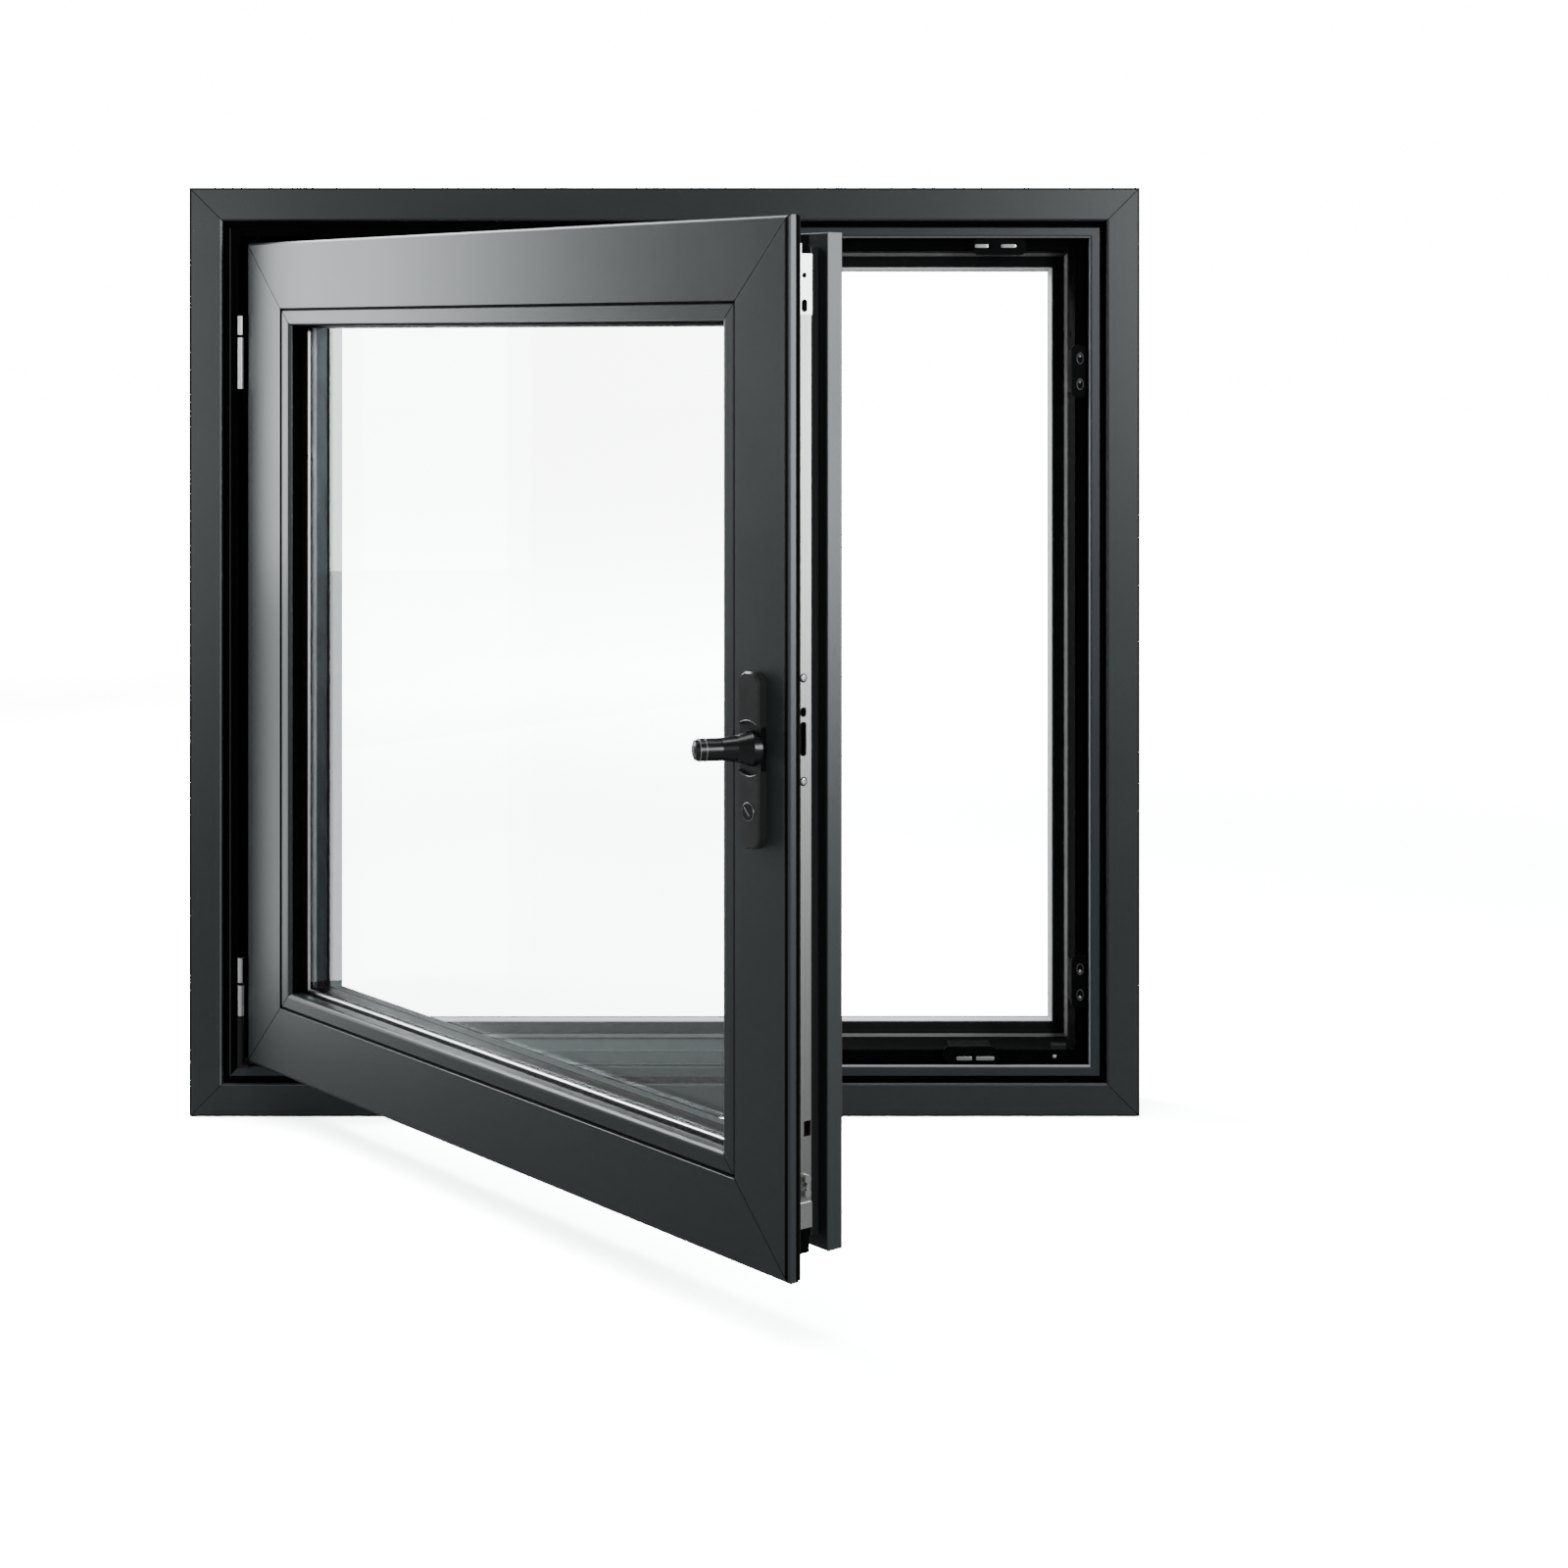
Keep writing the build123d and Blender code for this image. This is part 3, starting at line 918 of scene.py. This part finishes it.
def closed_piece(
    name: str, rings: np.ndarray, material: bpy.types.Material, loop: bool = False
) -> None:
    """Make one closed piece from rings of points, capped at both ends or closed on itself.

    Args:
        name: The piece's name.
        rings: Points as rows of rings, each ring closed.
        material: Its finish.
        loop: Whether the last ring joins the first.
    """
    rows, columns = rings.shape[:2]
    index = np.arange(rows * columns).reshape(rows, columns)
    first = index if loop else index[:-1]
    after = np.roll(index, -1, axis=0) if loop else index[1:]
    quads = [first, np.roll(first, -1, 1), np.roll(after, -1, 1), after]
    faces = np.stack(quads, axis=-1).reshape(-1, 4)
    points = rings.reshape(-1, 3)
    caps = np.empty((0, 3), dtype=int)
    if not loop:
        ends = np.stack([rings[0].mean(axis=0), rings[-1].mean(axis=0)])
        low = np.full(columns, rows * columns)
        caps = np.concatenate(
            [
                np.stack([low, np.roll(index[0], -1), index[0]], axis=-1),
                np.stack([low + 1, index[-1], np.roll(index[-1], -1)], axis=-1),
            ]
        )
        points = np.concatenate([points, ends])
    middle = points.mean(axis=0)
    triangles = np.concatenate([faces[:, [0, 1, 2]], faces[:, [0, 2, 3]], caps])
    corners = points[triangles] - middle
    volume = np.einsum("ij,ij->i", corners[:, 0], np.cross(corners[:, 1], corners[:, 2])).sum()
    if volume < 0:
        faces, caps = faces[:, ::-1], caps[:, ::-1]
    mesh = bpy.data.meshes.new(name)
    mesh.from_pydata(points.tolist(), [], faces.tolist() + caps.tolist())
    mesh.shade_smooth()
    mesh.set_sharp_from_angle(angle=SHARP_ANGLE)
    mesh.materials.append(material)
    piece = bpy.data.objects.new(name, mesh)
    bpy.context.collection.objects.link(piece)
    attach(piece, "root")
    log.info("%s: %d faces", name, len(mesh.polygons))


def circle(count: int) -> np.ndarray:
    """Give evenly spaced angles round a full turn."""
    return np.linspace(0, 2 * np.pi, count, endpoint=False)


def screw_head(radius: float, height: float) -> np.ndarray:
    """Shape a domed screw head with a cross recess.

    Rings climb the rim and close over the dome, whose height falls with the square of the distance
    from the middle. The recess is deep where both the smaller of x and y is under the slot's half
    width and the distance from the middle is under the slot's length.

    Args:
        radius: The head's radius.
        height: The dome's height.

    Returns:
        Rings of points.
    """
    reach = np.concatenate([[1.0, 1.0], np.linspace(1.0, 0.04, 14)])[:, None]
    turn = circle(48)[None, :]
    x = radius * reach * np.cos(turn)
    y = radius * reach * np.sin(turn)
    dome = height * np.sqrt(1 - 0.7 * reach**2) * np.ones_like(turn)
    narrow = np.minimum(np.abs(x), np.abs(y)) / (0.16 * radius)
    recess = np.exp(-(narrow**4)) * np.exp(-((reach / 0.6) ** 8))
    z = dome - 0.55 * height * recess
    z[0] = -0.15 * height
    z[1] = 0.1 * height
    return np.stack([x, y, z], axis=-1)


def soft_block(size: Triple, power: float = 0.32) -> np.ndarray:
    """Shape a block with rounded edges: a superellipsoid standing on its base.

    Each of x, y and z is half the size times a cosine or sine whose size is raised to a small
    power, which squares the round form up.

    Args:
        size: Its length, width and height.
        power: How round it is, from 0 for square to 1 for an ellipsoid.

    Returns:
        Rings of points.
    """
    def bent(value: np.ndarray) -> np.ndarray:
        """Raise a size to the power and keep its sign."""
        return np.sign(value) * np.abs(value) ** power

    rise = np.linspace(-np.pi / 2 + 0.05, np.pi / 2 - 0.05, 20)[:, None]
    turn = circle(40)[None, :]
    x = size[0] / 2 * bent(np.cos(rise)) * bent(np.cos(turn))
    y = size[1] / 2 * bent(np.cos(rise)) * bent(np.sin(turn))
    z = size[2] / 2 * (bent(np.sin(rise)) + 0.9) * np.ones_like(turn)
    return np.stack([x, y, z], axis=-1)


def oval_rim(half_width: float, half_length: float, wire: float, lift: float = 0.0) -> np.ndarray:
    """Shape a round wire bent into an oval.

    The wire's middle runs on an ellipse. Each ring of the wire lies in the plane of the ellipse's
    outward direction and of the upright.

    Args:
        half_width: The ellipse's half width.
        half_length: The ellipse's half length.
        wire: The wire's radius.
        lift: How far the wire's middle stands above the base.

    Returns:
        Rings of points, closed on themselves.
    """
    turn = circle(56)[:, None]
    round_ = circle(12)[None, :]
    out = np.stack([half_length * np.cos(turn), half_width * np.sin(turn)], axis=-1)
    out = out / np.linalg.norm(out, axis=-1, keepdims=True)
    x = half_width * np.cos(turn) + wire * np.cos(round_) * out[..., 0]
    y = half_length * np.sin(turn) + wire * np.cos(round_) * out[..., 1]
    z = lift + wire * np.sin(round_) * np.ones_like(turn)
    return np.stack([x, y, z], axis=-1)


def arc_lip(radius: float, start: float, stop: float, wire: float, lift: float) -> np.ndarray:
    """Shape a round wire along an arc, with tapered ends.

    The wire's middle runs on the arc, and its radius is the wire's times a half sine along the
    arc, raised to a small power.

    Args:
        radius: The arc's radius.
        start: Its first angle.
        stop: Its last angle.
        wire: The wire's radius.
        lift: How far the wire's middle stands above the base.

    Returns:
        Rings of points.
    """
    share = np.linspace(0.02, 0.98, 28)[:, None]
    turn = start + (stop - start) * share
    round_ = circle(12)[None, :]
    thick = wire * np.sin(np.pi * share) ** 0.3
    reach = radius + thick * np.cos(round_)
    z = lift + thick * np.sin(round_)
    return np.stack([reach * np.cos(turn), reach * np.sin(turn), z], axis=-1)


def cord_loop(inward: float, depth: float, radius: float, sway: float, seed: int) -> np.ndarray:
    """Shape a round cord that runs round the closed sash as one ring with mitred corners.

    Each side has stations between two corners. At a station, the cord's section is a circle in the
    inward and depth directions, and the inward distance sways a little: two sine waves along the
    side, with phases from the seed, whose product with a half sine keeps the corners in place.

    Args:
        inward: How far in from the sash's edge the cord's middle runs.
        depth: How far behind the sash's room face it runs.
        radius: The cord's radius.
        sway: How far it sways.
        seed: The seed of the sway's phases.

    Returns:
        Rings of points in the shared frame, closed on themselves.
    """
    half = np.array([WIDTH / 2 - LEAF_EDGE, HEIGHT / 2 - LEAF_EDGE])
    corners = np.array([[-1, -1], [1, -1], [1, 1], [-1, 1]], dtype=float)
    share = np.linspace(0, 1, 40, endpoint=False)
    phases = np.random.default_rng(seed).uniform(0, 2 * np.pi, (4, 2))
    sides = (np.roll(corners, -1, axis=0) - corners)[:, None, :]
    along = corners[:, None, :] + share[None, :, None] * sides
    waves = np.sin(9 * np.pi * share + phases[:, :1]) + np.sin(23 * np.pi * share + phases[:, 1:])
    moved = (sway * np.sin(np.pi * share) * waves).reshape(-1, 1)
    turn = circle(16)[None, :]
    inset = inward + moved + radius * np.cos(turn)
    way = along.reshape(-1, 1, 2) * (half - inset[..., None])
    y = LEAF_FRONT + depth + radius * np.sin(turn) * np.ones_like(inset)
    return swung(np.stack([way[..., 0], y, way[..., 1] + HEIGHT / 2], axis=-1))


def leaned(rings: np.ndarray, angle: float) -> np.ndarray:
    """Lean points over towards the left of their own up direction.

    Args:
        rings: Points in the piece's own right, up and outward.
        angle: How far the outward direction leans, in radians.

    Returns:
        The leaned points.
    """
    right, up, out = rings[..., 0], rings[..., 1], rings[..., 2]
    return np.stack(
        [
            right * math.cos(angle) - out * math.sin(angle),
            up,
            right * math.sin(angle) + out * math.cos(angle),
        ],
        axis=-1,
    )


def turned(rings: np.ndarray, angle: float) -> np.ndarray:
    """Turn points about their own outward direction.

    Args:
        rings: Points in the piece's own right, up and outward.
        angle: How far they turn from right to up, in radians.

    Returns:
        The turned points.
    """
    right, up, out = rings[..., 0], rings[..., 1], rings[..., 2]
    cosine, sine = math.cos(angle), math.sin(angle)
    return np.stack([right * cosine - up * sine, right * sine + up * cosine, out], axis=-1)


@dataclass
class FixedFrame:
    """The mitred fixed frame with its seal, keeps and run-up block."""

    finishes: Finishes
    keep_thickness: float = 3.5 * MM
    eye_depth: float = 1.6 * MM
    eye_inward: float = 8 * MM
    eye_spacing: float = 26.5 * MM
    eye_half_width: float = 3.2 * MM
    eye_half_length: float = 5.4 * MM
    eye_wire: float = 0.6 * MM
    eye_screw_shift: float = 2.5 * MM
    lock_keeps: tuple[float, float] = (760.5 * MM, 134 * MM)
    head_keep: float = WIDTH / 2 - 141 * MM
    sill_keep: float = WIDTH / 2 - 172 * MM
    sill_screw_x: float = 400 * MM

    def build(self) -> None:
        """Dress the frame's parts and add the fittings of the keeps."""
        wear = self.finishes
        dress(wear.frame, "frame_head", "frame_sill", "frame_hinge_jamb", "frame_lock_jamb")
        dress(wear.seal, "frame_lip_seal")
        dress(wear.keep, "keep_lock_upper", "keep_lock_lower", "keep_head", "keep_sill")
        dress(wear.plastic, "run_up_block")
        self._lock_keep_fittings()
        self._rail_keep_fittings()

    def _lock_keep_fittings(self) -> None:
        """Put rims round the eyes of the keeps on the lock jamb, in lighter zinc as painted
        highlights, and a screw in each eye.
        """
        across = WIDTH / 2 - LEDGE_START - self.eye_inward
        ledge = -DEPTH / 2 + LEDGE_SETBACK
        rim = oval_rim(self.eye_half_width, self.eye_half_length, self.eye_wire)
        head = screw_head(radius=1.9 * MM, height=1.5 * MM)
        rimmed, screwed = self.finishes.keep_rim_highlight, self.finishes.bright
        for keep, height in zip(("upper", "lower"), self.lock_keeps):
            for end, side in (("top", 1), ("foot", -1)):
                up = height + side * self.eye_spacing / 2
                spot = Spot((across, ledge - self.keep_thickness, up), Facing.ROOM)
                closed_piece(f"eye_rim_{keep}_{end}", spot.place(rim), rimmed, True)
                shift = self.eye_screw_shift
                screw_up = up + (shift if keep == "upper" else -shift)
                floor = ledge - self.keep_thickness + self.eye_depth
                spot = Spot((across, floor, screw_up), Facing.ROOM)
                closed_piece(f"eye_screw_{keep}_{end}", spot.place(head), screwed)

    def _rail_keep_fittings(self) -> None:
        """Put the bright rollers on the keeps of the head and the sill, and the sill's screw."""
        ledge = -DEPTH / 2 + LEDGE_SETBACK - self.keep_thickness
        rows = (
            ("head_left", self.head_keep - 19 * MM, HEIGHT - LEDGE_START - 8 * MM, 14 * MM),
            ("head_right", self.head_keep + 8.5 * MM, HEIGHT - LEDGE_START - 8 * MM, 16 * MM),
            ("sill_left", self.sill_keep - 6 * MM, LEDGE_START + 5 * MM, 16 * MM),
            ("sill_right", self.sill_keep + 15.5 * MM, LEDGE_START + 5 * MM, 19 * MM),
        )
        for name, across, up, length in rows:
            bar = soft_block((length, 4.2 * MM, 1.8 * MM))
            spot = Spot((across, ledge, up), Facing.ROOM)
            closed_piece(f"roller_{name}", spot.place(bar), self.finishes.bright)
        screw = screw_head(radius=2.0 * MM, height=1.4 * MM)
        origin = (self.sill_screw_x, -DEPTH / 2 + LEDGE_SETBACK, LEDGE_START + 6 * MM)
        spot = Spot(origin, Facing.ROOM)
        closed_piece("sill_screw", spot.place(screw), self.finishes.bright)


@dataclass
class Sash:
    """The swung sash with its beads, gaskets and glass."""

    finishes: Finishes

    def build(self) -> None:
        """Dress the sash's parts and add its two round cords."""
        wear = self.finishes
        sides = ("top", "bottom", "hinge_side", "lock_side")
        rails = ("sash_top_rail", "sash_bottom_rail", "sash_hinge_stile", "sash_lock_stile")
        dress(wear.sash, *rails, *(f"glazing_bead_{side}" for side in sides))
        dress(wear.seal, "glazing_gasket_inner", "glazing_gasket_outer", "sash_overlap_seal")
        dress(wear.spacer, "glass_spacer")
        dress(wear.glass, "glass_pane_inner", "glass_pane_outer")
        bulb = cord_loop(
            inward=1.9 * MM, depth=12.5 * MM, radius=1.2 * MM, sway=0.05 * MM, seed=3
        )
        closed_piece("overlap_bulb", bulb, wear.seal, True)
        # A light metal cord round the glass as a painted highlight on the gasket.
        cord = cord_loop(
            inward=84.6 * MM, depth=23.0 * MM, radius=1.9 * MM, sway=0.05 * MM, seed=8
        )
        closed_piece("glazing_cord", cord, wear.cord, True)


@dataclass
class Hardware:
    """Lock edge, handle and hinges."""

    finishes: Finishes
    edge_x: float = LEAF_RIGHT - 15 * MM + 2.5 * MM
    edge_y: float = LEAF_FRONT + 26 * MM
    screw_heights: tuple[float, float] = (526.5 * MM, 445 * MM)
    plate_thickness: float = 8 * MM
    dish_depth: float = 2.5 * MM
    dish_radius: float = 22 * MM
    lever_radius: float = 9 * MM
    lever_lean: float = math.radians(24)
    ring_heights: tuple[float, float] = (42.2 * MM, 37.2 * MM)
    keyhole_drop: float = 50 * MM
    keyhole_radius: float = 6.9 * MM
    cylinder_proud: float = 0.8 * MM
    trim_wire: float = 0.42 * MM
    lip_half_angle: float = 29

    def build(self) -> None:
        """Dress the hardware and add its small fittings."""
        dress(self.finishes.steel, "lock_faceplate")
        dress(self.finishes.bright, "corner_drive_upper", "corner_drive_lower", "locking_cams")
        dress(self.finishes.plate, "handle_plate")
        dress(self.finishes.handle, "handle_lever", "handle_cylinder")
        for hinge in ("hinge_upper", "hinge_lower"):
            dress(self.finishes.hinge, hinge + "_frame_arm", hinge + "_sash_arm")
            # The pins wear dark zinc so that the gaps between the barrels read as painted shade.
            dress(self.finishes.keep, hinge + "_pin")
        dress(self.finishes.plastic, "hinge_lower_cover")
        self._edge_screws()
        self._handle_trim()

    def _edge_screws(self) -> None:
        """Put the screws of the gear in the faceplate, each with a dark rim as painted shade round
        its head.
        """
        head = screw_head(radius=2.6 * MM, height=0.9 * MM)
        # The dark rim is painted shade round the screw's head.
        rim = oval_rim(half_width=3.1 * MM, half_length=3.1 * MM, wire=0.5 * MM)
        bright, dark = self.finishes.bright, self.finishes.keep
        for number, height in enumerate(self.screw_heights, start=1):
            spot = Spot((self.edge_x, self.edge_y, height), Facing.LOCK_EDGE, Side.SASH)
            closed_piece(f"edge_screw_{number}", spot.place(head), bright)
            closed_piece(f"edge_rim_{number}", spot.place(rim), dark, True)

    def _handle_trim(self) -> None:
        """Put on the lever's rings, the lips of the dish as painted highlights on its edge, and the
        keyhole's rim and bar, the bar a painted highlight on the slot.
        """
        trim_and_highlight, wire, radius = self.finishes.trim_and_highlight, self.trim_wire, self.lever_radius
        face = Spot((HANDLE_X, LEAF_FRONT, HANDLE_Z), Facing.ROOM, Side.SASH)
        floor = self.plate_thickness - self.dish_depth
        for number, height in enumerate(self.ring_heights, start=1):
            ring = leaned(oval_rim(radius, radius, wire, height), self.lever_lean)
            ring[..., 2] += floor
            closed_piece(f"lever_ring_{number}", face.place(ring), trim_and_highlight, True)
        # The dish's lips are light wires that paint highlights along the dish's edge.
        for name, middle in (("upper", 90), ("lower", 270)):
            start = math.radians(middle - self.lip_half_angle)
            stop = math.radians(middle + self.lip_half_angle)
            lip = arc_lip(self.dish_radius, start, stop, wire, self.plate_thickness)
            closed_piece(f"dish_highlight_lip_{name}", face.place(lip), trim_and_highlight)
        key = oval_rim(self.keyhole_radius, self.keyhole_radius, 0.5 * MM, self.plate_thickness)
        key[..., 1] -= self.keyhole_drop
        closed_piece("keyhole_rim", face.place(key), trim_and_highlight, True)
        # The light bar paints the highlight on the keyhole's slot.
        bar = turned(soft_block((9 * MM, 1.5 * MM, 0.8 * MM)), math.radians(-45))
        top = self.plate_thickness + self.cylinder_proud - 0.2 * MM
        bar += np.array([0.0, -self.keyhole_drop, top])
        closed_piece("keyhole_bar", face.place(bar), trim_and_highlight)


@dataclass(frozen=True)
class Softbox:
    """One rectangular studio light."""

    name: str
    place: Triple
    aim: Triple
    size: tuple[float, float]
    power: float

    def build(self) -> None:
        """Place the light."""
        light = bpy.data.lights.new(self.name, "AREA")
        light.shape = "RECTANGLE"
        light.size, light.size_y = self.size
        light.energy = self.power
        light.color = LAMP_COLOUR
        lamp = bpy.data.objects.new(self.name, light)
        lamp.location = self.place
        way = Vector(self.aim) - Vector(self.place)
        lamp.rotation_euler = way.to_track_quat("-Z", "Y").to_euler()
        bpy.context.collection.objects.link(lamp)


SOFTBOXES = (
    Softbox("left_near_box", (-0.95, 0.08, 0.82), (-0.4, -0.1, 0.82), (0.36, 0.62), 7.4),
    Softbox("left_low_box", (-0.95, 0.08, 0.26), (-0.4, -0.1, 0.26), (0.36, 0.5), 2.4),
    Softbox("right_box", (2.6, -1.25, 1.0), (0.1, -0.7, 0.75), (0.8, 1.4), 62),
    Softbox("top_back_box", (-1.6, 1.05, 2.0), (-0.15, -0.38, 0.6), (1.4, 1.0), 90),
    Softbox("overhead_box", (0.2, -0.7, 2.9), (0.1, -0.2, 0.4), (1.6, 0.9), 38),
    Softbox("front_right_box", (1.5, -3.0, 1.1), (0.45, 0, 0.75), (0.5, 1.0), 38),
    Softbox("front_left_box", (-1.4, -3.0, 0.75), (-0.45, 0, 0.55), (0.4, 1.2), 20),
)


@dataclass
class Studio:
    """Pale floor, soft lights and the camera."""

    distance: float = 2.861
    eye_x: float = 0.021
    eye_z: float = 0.794
    focal_px: float = 2861.0
    image_px: float = 1600.0
    sensor: float = 36.0
    centre_px: tuple[float, float] = (699.125, 345.56)
    backdrop: float = 16.0
    fill: float = 0.13
    fill_through_glass: float = 0.5
    floor_near: float = 16.0
    floor_bounce: float = 0.21
    floor_reach: float = 30.0
    floor_fade: tuple[float, float] = (1.5, 6.0)

    def build(self) -> None:
        """Set up everything that isn't the window."""
        self._floor()
        self._world()
        for softbox in SOFTBOXES:
            softbox.build()
        self._camera()

    def _bounced(self, made: Tree) -> bpy.types.NodeSocket:
        """Tell light that falls on the window from light that goes straight to the eye.

        Args:
            made: The tree to build in.

        Returns:
            1 for a ray that has bounced, and 0 for one from the camera or through the glass.
        """
        path = made.add("ShaderNodeLightPath")
        depths = path.outputs["Diffuse Depth"], path.outputs["Glossy Depth"]
        return made.math("ADD", *depths, clamp=True)

    def _floor(self) -> None:
        """Lay a wide pale floor at the sill's underside, as white far off as the backdrop."""
        corners = self.floor_reach * np.array([[-1, -1, 0], [1, -1, 0], [1, 1, 0], [-1, 1, 0]])
        mesh = bpy.data.meshes.new("studio_floor")
        mesh.from_pydata(corners.tolist(), [], [(0, 1, 2, 3)])
        floor = bpy.data.objects.new("studio_floor", mesh)
        bpy.context.collection.objects.link(floor)
        material, made, place = new_material("studio_floor")
        rise = made.ramp(made.length(place), *self.floor_fade)
        far = made.math("MULTIPLY", rise, self.backdrop / self.fill - self.floor_near)
        seen = made.math("ADD", far, self.floor_near)
        bounced = self._bounced(made)
        dim = made.math("MULTIPLY", bounced, self.floor_bounce)
        level = made.math("MULTIPLY_ADD", made.math("SUBTRACT", 1.0, bounced), seen, dim)
        made.finish(made.add("ShaderNodeBsdfDiffuse", {"Color": level}))
        mesh.materials.append(material)

    def _world(self) -> None:
        """Fill the surroundings with white, bright to the eye and gentle as light on the window.

        What the window mirrors through its own glass is brighter than the rest.
        """
        world = bpy.data.worlds.new("studio_world")
        bpy.context.scene.world = world
        world.use_nodes = True
        made = Tree(world.node_tree)
        through = made.add("ShaderNodeLightPath").outputs["Is Transmission Ray"]
        gentle = made.math("MULTIPLY_ADD", through, self.fill_through_glass, self.fill)
        seen = made.math("SUBTRACT", 1.0, self._bounced(made))
        level = made.math("MAXIMUM", gentle, made.math("MULTIPLY", seen, self.backdrop))
        sky = made.add("ShaderNodeBackground", {"Color": (1, 1, 1, 1), "Strength": level})
        made.finish(sky, "ShaderNodeOutputWorld")

    def _camera(self) -> None:
        """Place the camera square to the frame, shifted to the photograph's framing."""
        data = bpy.data.cameras.new("camera")
        data.sensor_width = self.sensor
        data.lens = data.sensor_width * self.focal_px / self.image_px
        data.shift_x = (self.image_px / 2 - self.centre_px[0]) / self.image_px
        data.shift_y = (self.centre_px[1] - self.image_px / 2) / self.image_px
        camera = bpy.data.objects.new("camera", data)
        camera.location = (self.eye_x, -DEPTH / 2 - self.distance, self.eye_z)
        camera.rotation_euler = (math.pi / 2, 0, 0)
        bpy.context.collection.objects.link(camera)
        bpy.context.scene.camera = camera


def main() -> None:
    """Build the window's looks and the studio."""
    logging.basicConfig(level=logging.INFO, format="%(message)s")
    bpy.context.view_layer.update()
    finishes = Finishes()
    FixedFrame(finishes).build()
    Sash(finishes).build()
    Hardware(finishes).build()
    Studio().build()


if __name__ == "__main__":
    main()
